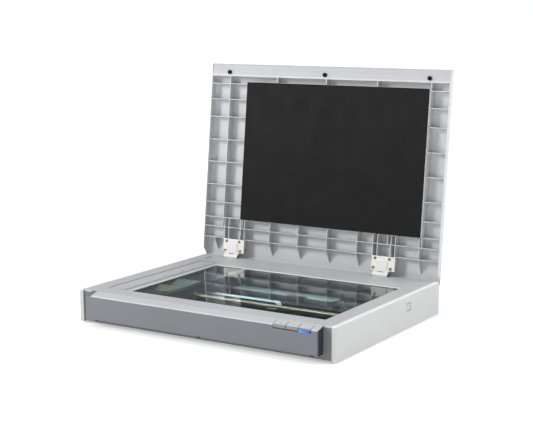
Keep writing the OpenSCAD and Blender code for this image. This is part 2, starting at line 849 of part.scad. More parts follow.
module home_sensor() {
    color([0.12, 0.12, 0.13]) placed() difference() {
        slab(home_x, home_y, floor_z, home_x + 12, home_y + 12, 46);
        slab(home_x - 1, home_y + 4, 38, home_x + 13, home_y + 8, 47);
    }
}

module port_block(x, w, y0, half) {
    slab(x, y0, port_z - half, x + w, back_y, port_z + half);
}

module power_inlet() {
    color([0.1, 0.1, 0.1]) placed() difference() {
        port_block(inlet_x, inlet_w, back_y - 15.5, port_half);
        bar_y_axis(inlet_x + inlet_w / 2, back_y - 11.5, back_y + 1, port_z, 3.2);
    }
}

module usb_socket() {
    color([0.75, 0.76, 0.77]) placed() difference() {
        port_block(usb_x, usb_w, back_y - 16.5, port_half);
        slab(usb_x + 1, back_y - 11.5, port_z - 4.5, usb_x + usb_w - 1, back_y + 1, port_z + 4.5);
    }
}

rocker_y = back_y - 4.5;

module switch_housing() {
    color([0.1, 0.1, 0.1]) placed() difference() {
        union() {
            port_block(switch_x, switch_w, back_y - 17.5, switch_half);
            slab(switch_x - 1, back_y - eps, port_z - switch_half - 1,
                 switch_x + switch_w + 1, back_y + 1, port_z + switch_half + 1);
        }
        slab(switch_x + 1.5, back_y - 13.5, port_z - switch_half + 1.5,
             switch_x + switch_w - 1.5, back_y + 2, port_z + switch_half - 1.5);
        bar_x_axis(switch_x - 1, switch_x + switch_w + 1, rocker_y, port_z, rocker_pin_r + fit);
    }
}

// Rocker with its lower half pressed in, on a cross pin
module power_rocker() {
    face = rocker_y + 4.6;
    color([0.16, 0.16, 0.17]) placed() union() {
        along_x(switch_x + 1.9, switch_x + switch_w - 1.9)
            polygon([[rocker_y - 3.6, port_z - rocker_half], [face, port_z - rocker_half], [face, port_z],
                [face + rocker_half * tan(rocker_throw), port_z + rocker_half],
                [rocker_y - 3.6, port_z + rocker_half]]);
        bar_x_axis(switch_x + 0.3, switch_x + switch_w - 0.3, rocker_y, port_z, rocker_pin_r);
    }
}

// ---------- lid, drawn closed ----------

module lid_form(inset, z0) {
    r = lid_r - inset;
    intersection() {
        along_x(inset, body_w - inset)
            arch(lid_front + inset, lid_back - inset, z0, lid_top - inset, r);
        along_y(lid_front - 1, lid_back + 1)
            arch(inset, body_w - inset, z0 - 1, lid_top - inset, r);
        translate([0, 0, z0 - 1]) linear_extrude(height = lid_t + 4)
            rounded_rect(inset, lid_front + inset, body_w - inset, lid_back - inset, 4 - inset / 2);
    }
}

function row_y(v) = crest - v;

module rib_across(v, x0, x1) {
    slab(x0, row_y(v) - rib_t / 2, rib_z, x1, row_y(v) + rib_t / 2, lid_top - lid_skin / 2);
}

// Short upright rib that runs out towards the hinge end
module low_rib(x, far) {
    along_x(x - rib_t / 2, x + rib_t / 2)
        polygon([[row_y(far), rib_z], [row_y(38), rib_z], [row_y(12), lid_top - lid_skin - 1],
                 [row_y(12), lid_top - lid_skin / 2], [row_y(far), lid_top - lid_skin / 2]]);
}

module bracket_spots(x) {
    for (s = [[-16.5, 36.3], [16.5, 36.3], [-20, 16], [20, 16]])
        translate([x + 1.5 + s[0], row_y(s[1]), 0]) children();
}

module lid_shell() {
    flange_t = 2;
    color([0.82, 0.83, 0.84]) opened() difference() {
        union() {
            difference() {
                lid_form(0, rim_z);
                lid_form(lid_skin, rim_z - 1);
            }
            intersection() {
                lid_form(lid_skin / 2, rim_z);
                union() {
                    for (v = rows)
                        if (v > 41.5) rib_across(v, 0, body_w);
                    rib_across(41.5, 0, hinge_x[0] - bracket_left);
                    rib_across(41.5, hinge_x[0] + bracket_right, hinge_x[1] - bracket_left);
                    rib_across(41.5, hinge_x[1] + bracket_right, body_w);
                    low_rib(low_rib_x, 41.5);
                    for (i = [1 : 7])
                        if (i != 1 && i != 6) low_rib(low_rib_x + i * low_rib_pitch, 211.5);
                    for (i = [1, 6])
                        slab(low_rib_x + i * low_rib_pitch - rib_t / 2, row_y(211.5), rib_z,
                             low_rib_x + i * low_rib_pitch + rib_t / 2, row_y(66), lid_top - 1);
                    for (i = [0 : 4])
                        slab(top_rib_x + i * top_rib_pitch - rib_t / 2, row_y(404), rib_z,
                             top_rib_x + i * top_rib_pitch + rib_t / 2,
                             row_y((i == 0 || i == 4) ? 66 : 211.5), lid_top - 1);
                    for (x = hinge_x, d = hinge_ribs)
                        slab(x + d - rib_t / 2, row_y(87), rib_z,
                             x + d + rib_t / 2, row_y(20), lid_top - 1);
                    for (x = hinge_x)
                        bracket_spots(x) cylinder(h = lid_top - 1, r = 4);
                    // flat strip under the front rim that carries the bumpers, with a step along it
                    slab(0, row_y(419), rim_z + 0.3, body_w, row_y(403), rim_z + 0.3 + flange_t);
                    slab(0, row_y(404.6), rim_z + 0.3, body_w, row_y(403), lid_top - 1);
                    slab(0, lid_front, rim_z + 1.3, body_w, row_y(418), rim_z + 1.3 + flange_t);
                }
            }
        }
        for (x = hinge_x)
            bracket_spots(x) translate([0, 0, rim_z - 1]) cylinder(h = 13, r = 1.5);
        // hinge end of the rim, cut back to clear the base
        along_x(-1, body_w + 1)
            polygon([[row_y(15), rim_z - 2], [row_y(15), rim_z], [row_y(3), rim_z + rear_cut],
                     [lid_back + 1, rim_z + rear_cut], [lid_back + 1, rim_z - 2]]);
        for (x = hinge_x)
            slab(x - bracket_left - 0.4, row_y(42.2), rim_z - 1,
                 x + bracket_right + 0.4, row_y(0), rim_z + 1.5);
    }
}

module mat_foam() {
    color([0.93, 0.93, 0.92]) opened() translate([0, 0, mat_z + mat_t])
        linear_extrude(height = rib_z - mat_z - mat_t)
            rounded_rect(glass_x, row_y(391.6), glass_x1, row_y(86), 2);
}

module document_mat() {
    color([0.1, 0.1, 0.1]) opened() translate([0, 0, mat_z])
        linear_extrude(height = mat_t)
            rounded_rect(glass_x + 0.5, row_y(391.1), glass_x1 - 0.5, row_y(86.5), 2);
}

module lid_bumpers() {
    color([0.05, 0.05, 0.05]) opened() for (x = bumper_x)
        post(x, row_y(bumper_row), body_h + gap, rim_z + 0.3, 4.5);
}

// Turned-over plate with a raised arm and the two outer knuckles of the barrel
module bracket(x) {
    plate_face = rim_z - 1.5;
    arm_face = rim_z - 3;
    difference() {
        union() {
            slab(x - bracket_left, row_y(41), plate_face, x + bracket_right, row_y(11), rim_z + 1.5);
            along_y(row_y(30), row_y(9.4)) polygon([[x - 15.5, rim_z], [x - 13.5, arm_face],
                [x + 13.5, arm_face], [x + 15.5, rim_z]]);
            for (ends = [[-barrel_half, -knuckle_half - gap], [knuckle_half + gap, barrel_half]])
                along_x(x + ends[0], x + ends[1]) union() {
                    translate([hinge_y, hinge_z]) circle(r = barrel_r);
                    translate([row_y(12), arm_face]) square([hinge_y - row_y(12), 6]);
                }
        }
        bracket_spots(x) translate([0, 0, plate_face - 1]) cylinder(h = 6, r = 1.8);
        bar_x_axis(x - 30, x + 30, hinge_y, hinge_z, pin_r);
        bar_x_axis(x - 30, x - knuckle_half - 2, hinge_y, hinge_z, pin_head_r);
        bar_x_axis(x + barrel_half - pin_head_t - 0.5, x + 30, hinge_y, hinge_z, pin_head_r);
    }
}

module hinge_brackets() {
    color([0.93, 0.93, 0.88]) opened() for (x = hinge_x)
        bracket(x);
}

module hinge_screws() {
    head_z = rim_z - 1.5;
    color([0.55, 0.45, 0.3]) opened() for (x = hinge_x)
        bracket_spots(x) {
            translate([0, 0, head_z - 1.4]) cylinder(h = 1.4, r = 3.3);
            translate([0, 0, head_z - eps]) cylinder(h = 11, r = 1.45);
        }
}

module hinge_pins() {
    color([0.25, 0.2, 0.15]) opened() for (x = hinge_x) {
        bar_x_axis(x - barrel_half + 0.5, x + barrel_half - 1, hinge_y, hinge_z, pin_r);
        bar_x_axis(x + barrel_half - pin_head_t - 0.5, x + barrel_half - 0.5, hinge_y, hinge_z, pin_head_r);
    }
}

// Torsion springs round the pins, inside the left knuckles
module hinge_springs() {
    coils = 6;
    x0 = -barrel_half + 0.6;
    length = 8.6;
    color([0.7, 0.71, 0.72]) opened() for (x = hinge_x)
        wire([for (i = [0 : coils * 12])
            [x + x0 + length * i / (coils * 12),
             hinge_y + 3.25 * cos(i * 30), hinge_z + 3.25 * sin(i * 30)]], 0.35, 6);
}

// ---------- hinge legs ----------

module hinge_leg(x) {
    shoulder_z = hinge_z - barrel_r - 0.6;
    difference() {
        union() {
            bar_x_axis(x - knuckle_half, x + knuckle_half, hinge_y, hinge_z, barrel_r);
            slab(x - knuckle_half, hinge_y - barrel_r, shoulder_z - 1, x + knuckle_half, leg_y1, hinge_z);
            slab(x - leg_w / 2, leg_y0, leg_z0, x + leg_w / 2, leg_y1, shoulder_z);
        }
        bar_x_axis(x - barrel_half, x + barrel_half, hinge_y, hinge_z, pin_r + fit);
        // moulding hollows in the rear face
        for (z = [leg_z0 + 3, leg_z0 + 19])
            slab(x - 9, leg_y1 - 4, z, x + 9, leg_y1 + 1, z + 14);
    }
}

module hinge_legs() {
    color([0.93, 0.93, 0.88]) placed() for (x = hinge_x)
        hinge_leg(x);
}

lower_housing();
top_frame();
left_side_panel();
right_side_panel();
side_cover();
platen_glass();
glass_tape();
calibration_strip();
front_bar();
bar_top_strip();
led_lens();
bar_clips();
button_board();
button_switches();
rubber_feet();
housing_screws();
guide_rod();
rod_holders();
carriage_frame();
carriage_cover();
perforated_shield();
sensor_module();
sensor_window();
light_guide();
rod_bushings();
belt_clamp();
glass_sliders();
sensor_springs();
drive_belt();
idler_pulley();
belt_tensioner();
tension_spring();
motor_bracket();
stepper_motor();
motor_pinion();
drive_gear();
gear_pin();
main_board();
board_chips();
board_cover();
ribbon_cable();
home_sensor();
power_inlet();
usb_socket();
switch_housing();
power_rocker();
lid_shell();
mat_foam();
document_mat();
lid_bumpers();
hinge_brackets();
hinge_screws();
hinge_pins();
hinge_legs();
hinge_springs();
button_1();
button_2();
button_3();
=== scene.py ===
import math

import bmesh
import bpy
from mathutils import Matrix, Vector


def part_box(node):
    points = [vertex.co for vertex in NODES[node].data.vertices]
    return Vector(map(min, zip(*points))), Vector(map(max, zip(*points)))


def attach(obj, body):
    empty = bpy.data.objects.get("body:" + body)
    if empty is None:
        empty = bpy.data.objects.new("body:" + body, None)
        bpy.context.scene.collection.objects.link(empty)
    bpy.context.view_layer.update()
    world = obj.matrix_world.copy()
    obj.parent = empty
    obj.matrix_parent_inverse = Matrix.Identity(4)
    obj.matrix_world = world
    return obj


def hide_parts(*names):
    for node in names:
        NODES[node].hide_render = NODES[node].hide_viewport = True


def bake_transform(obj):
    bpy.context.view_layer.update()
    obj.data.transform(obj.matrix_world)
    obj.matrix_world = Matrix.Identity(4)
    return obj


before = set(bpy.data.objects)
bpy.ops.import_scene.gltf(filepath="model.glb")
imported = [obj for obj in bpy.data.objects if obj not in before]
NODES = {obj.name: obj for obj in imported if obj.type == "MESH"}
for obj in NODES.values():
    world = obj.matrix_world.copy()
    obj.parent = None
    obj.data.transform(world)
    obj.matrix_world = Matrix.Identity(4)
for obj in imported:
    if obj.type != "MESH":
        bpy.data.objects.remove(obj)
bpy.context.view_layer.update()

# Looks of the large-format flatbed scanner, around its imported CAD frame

MM = 0.001

# ---------------------------------------------------------------- sizes shared with the CAD source
# Millimetres and degrees. Places are measured from the base's front left corner at table height
LID_OPEN = 96                        # the lid's angle in the rest pose
LID_STRIP = 24                       # flat strip under the lid's front edge
TUB_INSIDE_Y = (3.5, 431)            # inner faces of the tub's front and rear walls
TUB_INSIDE_Z = 6                     # just over the tub's floor
BAR_EDGE_Z = 62.6                    # the bar's front top edge
BAR_RISE, BAR_RUN = 5.6, 21.0        # slope of the bar's top
CABLE_BOARD_X = 300                  # where the flat cable leaves the board's connector
CABLE_THICK = 0.3
SHEET_FIRST_HOLE = (104, 97)         # x and y of the lattice's start on the front perforated sheet
SHEET_APART = 64                     # from the front perforated sheet to the rear one
SHEET_PARTING_Y = 150                # between the two sheets
SHEET_TILT = 17
HOLE_COLUMN, HOLE_ROW = 6.4, 7.2     # hole spacing along x and up the slope
HOLE_DROP = 1.6                      # how much lower each next column sits
SCREW_HEAD, SCREW_SHANK = 1.4, 10.0  # heights
SCREW_HEAD_R, SCREW_SHANK_R = 3.3, 1.45

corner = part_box("left_side_panel")[0]


def place(x, y, z):
    """A point given in the base's own millimetres, in the row frame."""
    return Vector((corner.x + x * MM, corner.y + y * MM, z * MM))


# ---------------------------------------------------------------- node building
NOISE_LOW, NOISE_HIGH = 0.3, 0.7     # nearly all values of a noise texture lie between these
COLOUR_FACTOR, COLOUR_A, COLOUR_B, COLOUR_RESULT = 0, 6, 7, 2   # a colour Mix node's sockets


class Look:
    """A material with one Principled shader and short calls for the nodes in front of it."""

    def __init__(self, name, **constants):
        self.material = bpy.data.materials.new(name)
        self.material.use_nodes = True
        self.tree = self.material.node_tree
        self.bsdf = self.tree.nodes["Principled BSDF"]
        self.output = self.tree.nodes["Material Output"]
        for socket, value in constants.items():
            self.bsdf.inputs[socket.replace("_", " ")].default_value = value
        self.position = self.node("ShaderNodeTexCoord").outputs["Object"]

    def node(self, kind, **settings):
        made = self.tree.nodes.new(kind)
        for key, value in settings.items():
            setattr(made, key, value)
        return made

    def join(self, source, target):
        self.tree.links.new(source, target)

    def feed(self, socket, source):
        self.join(source, self.bsdf.inputs[socket])

    def stretched(self, scale):
        mapping = self.node("ShaderNodeMapping")
        mapping.inputs["Scale"].default_value = scale
        self.join(self.position, mapping.inputs["Vector"])
        return mapping.outputs["Vector"]

    def noise(self, scale, detail=4.0, vector=None, distortion=0.0):
        made = self.node("ShaderNodeTexNoise")
        made.inputs["Scale"].default_value = scale
        made.inputs["Detail"].default_value = detail
        made.inputs["Distortion"].default_value = distortion
        self.join(vector or self.position, made.inputs["Vector"])
        return made.outputs["Fac"]

    def cells(self, scale):
        made = self.node("ShaderNodeTexVoronoi", feature="F1")
        made.inputs["Scale"].default_value = scale
        self.join(self.position, made.inputs["Vector"])
        return made.outputs["Distance"]

    def ribs(self, scale, distortion=0.0):
        """Parallel bands across the X axis."""
        made = self.node("ShaderNodeTexWave", wave_type="BANDS", bands_direction="X")
        made.inputs["Scale"].default_value = scale
        made.inputs["Distortion"].default_value = distortion
        self.join(self.position, made.inputs["Vector"])
        return made.outputs["Fac"]

    def ramp(self, source, *stops):
        made = self.node("ShaderNodeValToRGB")
        elements = made.color_ramp.elements
        while len(elements) < len(stops):
            elements.new(0.5)
        for element, (at, colour) in zip(elements, stops):
            element.position = at
            element.color = (*colour, 1)
        self.join(source, made.inputs["Fac"])
        return made.outputs["Color"]

    def number(self, operation, a, b=None):
        made = self.node("ShaderNodeMath", operation=operation)
        for socket, value in zip(made.inputs, (a, b)):
            if isinstance(value, (int, float)):
                socket.default_value = value
            elif value is not None:
                self.join(value, socket)
        return made.outputs["Value"]

    def spread(self, source, low, high, start=0.0, end=1.0):
        """Maps a value from start..end to low..high."""
        made = self.node("ShaderNodeMapRange")
        settings = {"From Min": start, "From Max": end, "To Min": low, "To Max": high}
        for name, value in settings.items():
            made.inputs[name].default_value = value
        self.join(source, made.inputs["Value"])
        return made.outputs["Result"]

    def uneven(self, noise, low, high):
        """Maps a noise's usual range to low..high."""
        return self.spread(noise, low, high, NOISE_LOW, NOISE_HIGH)

    def mix(self, share, a, b, blend="MIX"):
        made = self.node("ShaderNodeMix", data_type="RGBA", blend_type=blend)
        for index, value in ((COLOUR_FACTOR, share), (COLOUR_A, a), (COLOUR_B, b)):
            socket = made.inputs[index]
            if isinstance(value, (int, float)):
                socket.default_value = value
            elif isinstance(value, tuple):
                socket.default_value = (*value, 1)
            else:
                self.join(value, socket)
        return made.outputs[COLOUR_RESULT]

    def repaint(self, share, colour):
        """Lays a colour over the look's own, by a share that comes from a node."""
        own = self.bsdf.inputs["Base Color"].links[0].from_socket
        self.feed("Base Color", self.mix(share, own, colour))

    def axis(self, name):
        made = self.node("ShaderNodeSeparateXYZ")
        self.join(self.position, made.inputs["Vector"])
        return made.outputs[name]

    def facing(self, name):
        """How far the surface faces along an object axis."""
        made = self.node("ShaderNodeSeparateXYZ")
        self.join(self.node("ShaderNodeTexCoord").outputs["Normal"], made.inputs["Vector"])
        return made.outputs[name]

    def band(self, axis, low, high, soft):
        """One between two places along an object axis, nought outside them; all in metres."""
        rising = self.spread(self.axis(axis), 0.0, 1.0, low - soft, low + soft)
        falling = self.spread(self.axis(axis), 1.0, 0.0, high - soft, high + soft)
        return self.number("MULTIPLY", rising, falling)

    def relief(self, height, depth, strength=1.0, round_edges=0.0):
        bump = self.node("ShaderNodeBump")
        bump.inputs["Distance"].default_value = depth
        bump.inputs["Strength"].default_value = strength
        self.join(height, bump.inputs["Height"])
        if round_edges:
            bevel = self.node("ShaderNodeBevel", samples=4)
            bevel.inputs["Radius"].default_value = round_edges
            self.join(bevel.outputs["Normal"], bump.inputs["Normal"])
        self.feed("Normal", bump.outputs["Normal"])


def shade(colour, factor):
    return tuple(min(1.0, c * factor) for c in colour)


# ---------------------------------------------------------------- colours
LIGHT_GREY = (0.50, 0.511, 0.527)
PANEL_GREY = (0.47, 0.48, 0.473)
LID_GREY = (0.53, 0.542, 0.558)
BAR_GREY = (0.165, 0.167, 0.187)
TUB_GREY = (0.17, 0.175, 0.19)
OFF_WHITE = (0.80, 0.80, 0.77)
NATURAL_NYLON = (0.7, 0.68, 0.6)
BLACK_NYLON = (0.04, 0.04, 0.042)
CHARCOAL = (0.03, 0.03, 0.033)
BLACK = (0.02, 0.02, 0.022)
SOCKET_BLACK = (0.015, 0.015, 0.015)
SHADOW_BLACK = (0.014, 0.0145, 0.015)
DEEP_BLACK = (0.006, 0.006, 0.006)
INK = (0.07, 0.072, 0.078)
SPRING_STEEL = (0.6, 0.6, 0.62)
BRIGHT_STEEL = (0.66, 0.66, 0.67)
SCREW_BRASS = (0.42, 0.30, 0.16)

# ---------------------------------------------------------------- kinds of material
COARSE_GRAIN = 900.0                 # texture scale of hidden mouldings
CARRIAGE_GRAIN = 1100.0


def moulded(name, colour, roughness=0.5, grain=1500.0, depth=2e-5, mottle=0.04, edge=4e-4,
            **constants):
    """Injection-moulded plastic: spark-eroded grain, faint flow mottling and uneven gloss."""
    look = Look(name, **constants)
    flow = look.noise(9.0, 3.0)
    fine = look.noise(grain, 2.0)
    tone = look.ramp(flow, (0.3, shade(colour, 1 - mottle)), (0.7, shade(colour, 1 + mottle)))
    speck = look.ramp(fine, (0.35, (0.93, 0.93, 0.93)), (0.65, (1.0, 1.0, 1.0)))
    look.feed("Base Color", look.mix(1.0, tone, speck, "MULTIPLY"))
    gloss = look.noise(34.0, 5.0)
    look.feed("Roughness", look.uneven(gloss, roughness - 0.06, roughness + 0.08))
    look.relief(fine, depth, 0.8, edge)
    return look


def metal(name, colour, roughness=0.3, scale=(40, 40, 40), grain=60.0):
    """Bare metal whose drawn or turned lines run along the axis with the small scale."""
    look = Look(name, Metallic=1.0)
    lines = look.noise(grain, 4.0, look.stretched(scale))
    stain = look.spread(look.noise(24.0, 4.0), 0.0, 0.25, 0.45, 0.75)
    tone = look.ramp(lines, (0.3, shade(colour, 0.82)), (0.7, shade(colour, 1.08)))
    look.feed("Base Color", look.mix(stain, tone, shade(colour, 0.6)))
    look.feed("Roughness", look.uneven(lines, roughness - 0.08, roughness + 0.12))
    look.relief(lines, 8e-6, 0.6, 2e-4)
    return look


def rubber(name, colour):
    """Soft black rubber with a dusty bloom and a pitted skin."""
    look = Look(name, Sheen_Weight=0.15)
    pits = look.cells(1600.0)
    dust = look.noise(180.0, 5.0)
    look.feed("Base Color", look.ramp(dust, (0.35, colour), (0.75, shade(colour, 1.9))))
    look.feed("Roughness", look.uneven(dust, 0.62, 0.85))
    look.relief(pits, 4e-5, 0.5, 3e-4)
    return look


def film(name, colour, roughness):
    """Thin film with an even, very fine tooth."""
    look = Look(name)
    fine = look.noise(2600.0, 2.0)
    cloud = look.noise(5.0, 3.0)
    tone = look.ramp(cloud, (0.3, shade(colour, 0.93)), (0.7, shade(colour, 1.07)))
    look.feed("Base Color", tone)
    look.feed("Roughness", look.uneven(fine, roughness - 0.05, roughness + 0.05))
    look.relief(fine, 8e-6, 0.7)
    return look


# ---------------------------------------------------------------- materials of the base
def glass_look(name):
    """Float glass with a faint green body; lamps shine through it onto what lies below.
    Its index is lower than that of real glass, so that it mirrors the lid only weakly."""
    look = Look(name, Roughness=0.0, IOR=1.22, Transmission_Weight=1.0)
    smear = look.noise(16.0, 6.0, distortion=0.6)
    tint = look.ramp(smear, (0.3, (0.80, 0.925, 0.92)), (0.7, (0.83, 0.945, 0.94)))
    look.feed("Base Color", tint)
    look.feed("Roughness", look.spread(smear, 0.0, 0.012, 0.45, 0.8))
    clear = look.node("ShaderNodeBsdfTransparent")
    clear.inputs["Color"].default_value = (0.8, 0.9, 0.9, 1)
    either = look.node("ShaderNodeMixShader")
    shadow_ray = look.node("ShaderNodeLightPath").outputs["Is Shadow Ray"]
    look.join(shadow_ray, either.inputs["Fac"])
    look.join(look.bsdf.outputs["BSDF"], either.inputs[1])
    look.join(clear.outputs["BSDF"], either.inputs[2])
    look.join(either.outputs["Shader"], look.output.inputs["Surface"])
    return look


def button_look(name):
    """Light top and blue-grey front skirt of a two-shot key; its sides painted dark as painted
    shade in the gaps between keys.
    """
    look = Look(name)
    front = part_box(name)[0].y + 0.55 * MM
    fine = look.noise(1500.0, 2.0)
    skirt = look.spread(look.axis("Y"), 1.0, 0.0, front, front + 0.1 * MM)
    tone = look.mix(look.noise(12.0), shade(LIGHT_GREY, 0.97), shade(LIGHT_GREY, 1.03))
    look.feed("Base Color", look.mix(skirt, tone, shade(BAR_GREY, 1.2)))
    # painted shade: the key's sides, which face into the gaps beside it
    sideways = look.number("ABSOLUTE", look.facing("X"))
    look.repaint(look.spread(sideways, 0.0, 1.0, 0.7, 0.9), CHARCOAL)
    look.feed("Roughness", look.uneven(fine, 0.36, 0.5))
    look.relief(fine, 1.5e-5, 0.6, 4e-4)
    return look


def housing_look(name):
    """Textured grey tub; its inside above the floor is painted near-black as painted shade."""
    look = moulded(name, TUB_GREY, 0.6, COARSE_GRAIN, 6e-5)
    step = 0.1 * MM
    front, rear = (place(0, y, 0).y for y in TUB_INSIDE_Y)
    floor_top = TUB_INSIDE_Z * MM
    inside = look.number("MULTIPLY", look.spread(look.axis("Y"), 0.0, 1.0, front, front + step),
                         look.spread(look.axis("Y"), 1.0, 0.0, rear, rear + step))
    above = look.spread(look.axis("Z"), 0.0, 1.0, floor_top, floor_top + step)
    # painted shade: the tub's inside above its floor is painted near-black
    look.repaint(look.number("MULTIPLY", inside, above), SHADOW_BLACK)
    return look


# The scale's printed outline and the mark behind it: x from and to, y from and to
PRINTED_LINES = (
    (40.6, 44.2, 38, 360),
    (40.6, 84.8, 356.6, 360.6),
    (83.4, 85.8, 38, 360),
    (33.4, 37.2, 385, 412),
)


def frame_look(name):
    """Light grey face: a painted highlight on its bevels, and the worn print of the scale's
    outline.
    """
    look = moulded(name, LIGHT_GREY, 0.46)
    # painted highlight: sloped bevel faces are lightened
    up = look.facing("Z")
    bevel = look.number("MULTIPLY", look.spread(up, 0.0, 0.9, 0.5, 0.6),
                        look.spread(up, 1.0, 0.0, 0.8, 0.9))
    look.repaint(bevel, (0.84, 0.85, 0.86))
    soft = 0.3 * MM
    lines = None
    for x0, x1, y0, y1 in PRINTED_LINES:
        low, high = place(x0, y0, 0), place(x1, y1, 0)
        line = look.number("MULTIPLY", look.band("X", low.x, high.x, soft),
                           look.band("Y", low.y, high.y, soft))
        lines = line if lines is None else look.number("MAXIMUM", lines, line)
    worn = look.uneven(look.noise(60.0, 3.0), 0.62, 0.86)
    look.repaint(look.number("MULTIPLY", lines, worn), INK)
    return look


def panel_look(name):
    """Satin side moulding, with a painted highlight along its rounded top edge."""
    look = moulded(name, PANEL_GREY, 0.36, Coat_Weight=0.25, Coat_Roughness=0.18)
    # painted highlight: the rounded top edge is lightened
    look.repaint(look.spread(look.facing("Z"), 0.0, 0.9, 0.3, 0.6), (0.93, 0.94, 0.93))
    return look


def side_cover_look(name):
    """Snap-in cover, darker along its rim as painted shade of the groove around it."""
    look = moulded(name, shade(PANEL_GREY, 0.97), 0.48)
    low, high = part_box(name)
    inner = 0.5 * MM
    side, ends = 1.3 * MM, 1.1 * MM
    rim = look.spread(look.axis("Y"), 1.0, 0.0, low.y + inner, low.y + side)
    for near in (look.spread(look.axis("Z"), 1.0, 0.0, low.z + inner, low.z + ends),
                 look.spread(look.axis("Z"), 0.0, 1.0, high.z - ends, high.z - inner)):
        rim = look.number("MAXIMUM", rim, near)
    # painted shade: the rim is darkened where the groove around the cover falls dark
    look.repaint(look.number("MULTIPLY", rim, 0.8), (0.06, 0.06, 0.06))
    return look


def bar_look(name):
    """Blue-grey satin moulding, a little darker to the right, with painted shade on its right end
    face.
    """
    look = moulded(name, BAR_GREY, 0.42, 1500.0, 1.8e-5, 0.03)
    left, right = (end.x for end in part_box(name))
    look.repaint(look.spread(look.axis("X"), 0.0, 0.2, left, right), shade(BAR_GREY, 0.3))
    # painted shade: the right end face, which falls in shadow beside the side panel
    look.repaint(look.spread(look.facing("X"), 0.0, 1.0, 0.75, 0.95), (0.035, 0.036, 0.04))
    return look


def lens_look(name):
    """Lit light guide: pale cyan at its left end, deep blue at its right."""
    look = Look(name, Roughness=0.25, Emission_Strength=1.0)
    left, right = (end.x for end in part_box(name))
    along = look.spread(look.axis("X"), 0.0, 1.0, left, right)
    patchy = look.number("ADD", along, look.uneven(look.noise(420.0, 2.0), -0.06, 0.06))
    glow = look.ramp(patchy, (0.0, (0.01, 0.50, 1.0)), (0.3, (0.005, 0.30, 0.9)),
                     (1.0, (0.004, 0.012, 0.40)))
    look.feed("Base Color", look.mix(1.0, glow, (0.2, 0.2, 0.2), "MULTIPLY"))
    look.feed("Emission Color", glow)
    return look


# ---------------------------------------------------------------- materials of the inner pieces
def cover_look(name):
    """Grey box over the main board, with painted shade on its walls."""
    look = moulded(name, (0.25, 0.28, 0.28), 0.5, COARSE_GRAIN, 4e-5)
    # painted shade: all faces but the top are painted near-black
    look.repaint(look.spread(look.facing("Z"), 1.0, 0.0, 0.5, 0.8), (0.012, 0.0125, 0.013))
    return look


def board_look(name):
    """Green solder mask with copper runs and pads showing through."""
    look = Look(name, Roughness=0.35, Coat_Weight=0.3)
    runs = look.node("ShaderNodeTexBrick", offset=0.37)
    runs.inputs["Scale"].default_value = 160.0
    runs.inputs["Mortar Size"].default_value = 0.035
    look.join(look.position, runs.inputs["Vector"])
    mask = runs.outputs["Fac"]
    pads = look.spread(look.cells(260.0), 1.0, 0.0, 0.10, 0.13)
    green = look.mix(mask, (0.004, 0.022, 0.012), (0.010, 0.045, 0.022))
    look.feed("Base Color", look.mix(pads, green, (0.30, 0.27, 0.20)))
    look.relief(mask, 2e-5, 0.6)
    return look


def belt_look(name):
    """Black belt with the faint ribbing of its teeth."""
    look = Look(name)
    teeth = look.ribs(160.0)
    tone = look.ramp(teeth, (0.2, (0.012, 0.012, 0.013)), (0.8, (0.05, 0.05, 0.05)))
    look.feed("Base Color", tone)
    look.feed("Roughness", look.uneven(look.noise(60.0), 0.55, 0.8))
    look.relief(teeth, 2e-4, 0.7)
    return look


def hole_distance(look, rear):
    """How far a point of the perforated sheets is from the nearest hole's middle, in metres.
    The lattice has columns along x and rows up the slope, and each next column sits lower."""
    column, row = HOLE_COLUMN * MM, HOLE_ROW * MM
    first = place(*SHEET_FIRST_HOLE, 0)
    columns = look.number("DIVIDE", look.number("SUBTRACT", look.axis("X"), first.x), column)
    behind = look.number("SUBTRACT", look.axis("Y"), first.y)
    behind = look.number("SUBTRACT", behind, look.number("MULTIPLY", rear, SHEET_APART * MM))
    rows = look.number("DIVIDE", behind, math.cos(math.radians(SHEET_TILT)) * row)
    rows = look.number("ADD", rows, look.number("MULTIPLY", columns, HOLE_DROP / HOLE_ROW))
    offset = look.node("ShaderNodeCombineXYZ")
    for socket, steps, size in (("X", columns, column), ("Y", rows, row)):
        to_nearest = look.number("PINGPONG", steps, 0.5)
        look.join(look.number("MULTIPLY", to_nearest, size), offset.inputs[socket])
    reach = look.node("ShaderNodeVectorMath", operation="LENGTH")
    look.join(offset.outputs["Vector"], reach.inputs[0])
    return reach.outputs["Value"]


def perforated_look(name):
    """Zinc-coated sheet: soft spangle, rolling lines, a warmer front sheet, and painted shade
    around and inside its holes.
    """
    look = Look(name, Metallic=0.25)
    spangle = look.cells(260.0)
    lines = look.noise(90.0, 3.0, look.stretched((2, 60, 60)))
    parting = place(0, SHEET_PARTING_Y, 0).y
    rear = look.spread(look.axis("Y"), 0.0, 1.0, parting - MM, parting + MM)
    tone = look.ramp(spangle, (0.1, (0.36, 0.42, 0.42)), (0.6, (0.52, 0.58, 0.58)))
    look.feed("Base Color", look.mix(rear, (0.50, 0.43, 0.34), tone))
    # painted shade: dark rings around the holes and black hole walls
    rim = look.spread(hole_distance(look, rear), 1.0, 0.0, 2.7 * MM, 3.1 * MM)
    walls = look.spread(look.facing("Z"), 1.0, 0.0, 0.7, 0.9)
    look.repaint(look.number("MAXIMUM", rim, walls), DEEP_BLACK)
    look.feed("Roughness", look.uneven(lines, 0.32, 0.52))
    look.relief(lines, 1.2e-5, 0.5)
    return look


def cable_look(name):
    """White flat cable with its row of conductors."""
    look = Look(name, Roughness=0.35)
    low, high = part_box("ribbon_cable")
    across = look.spread(look.axis("Y"), 0.0, 1.0, low.y, high.y)
    conductors = 22
    rows = look.number("PINGPONG", look.number("MULTIPLY", across, conductors), 0.5)
    look.feed("Base Color", look.ramp(rows, (0.12, (0.72, 0.80, 0.86)), (0.3, (0.9, 0.94, 0.96))))
    look.relief(rows, 8e-5, 0.6)
    return look


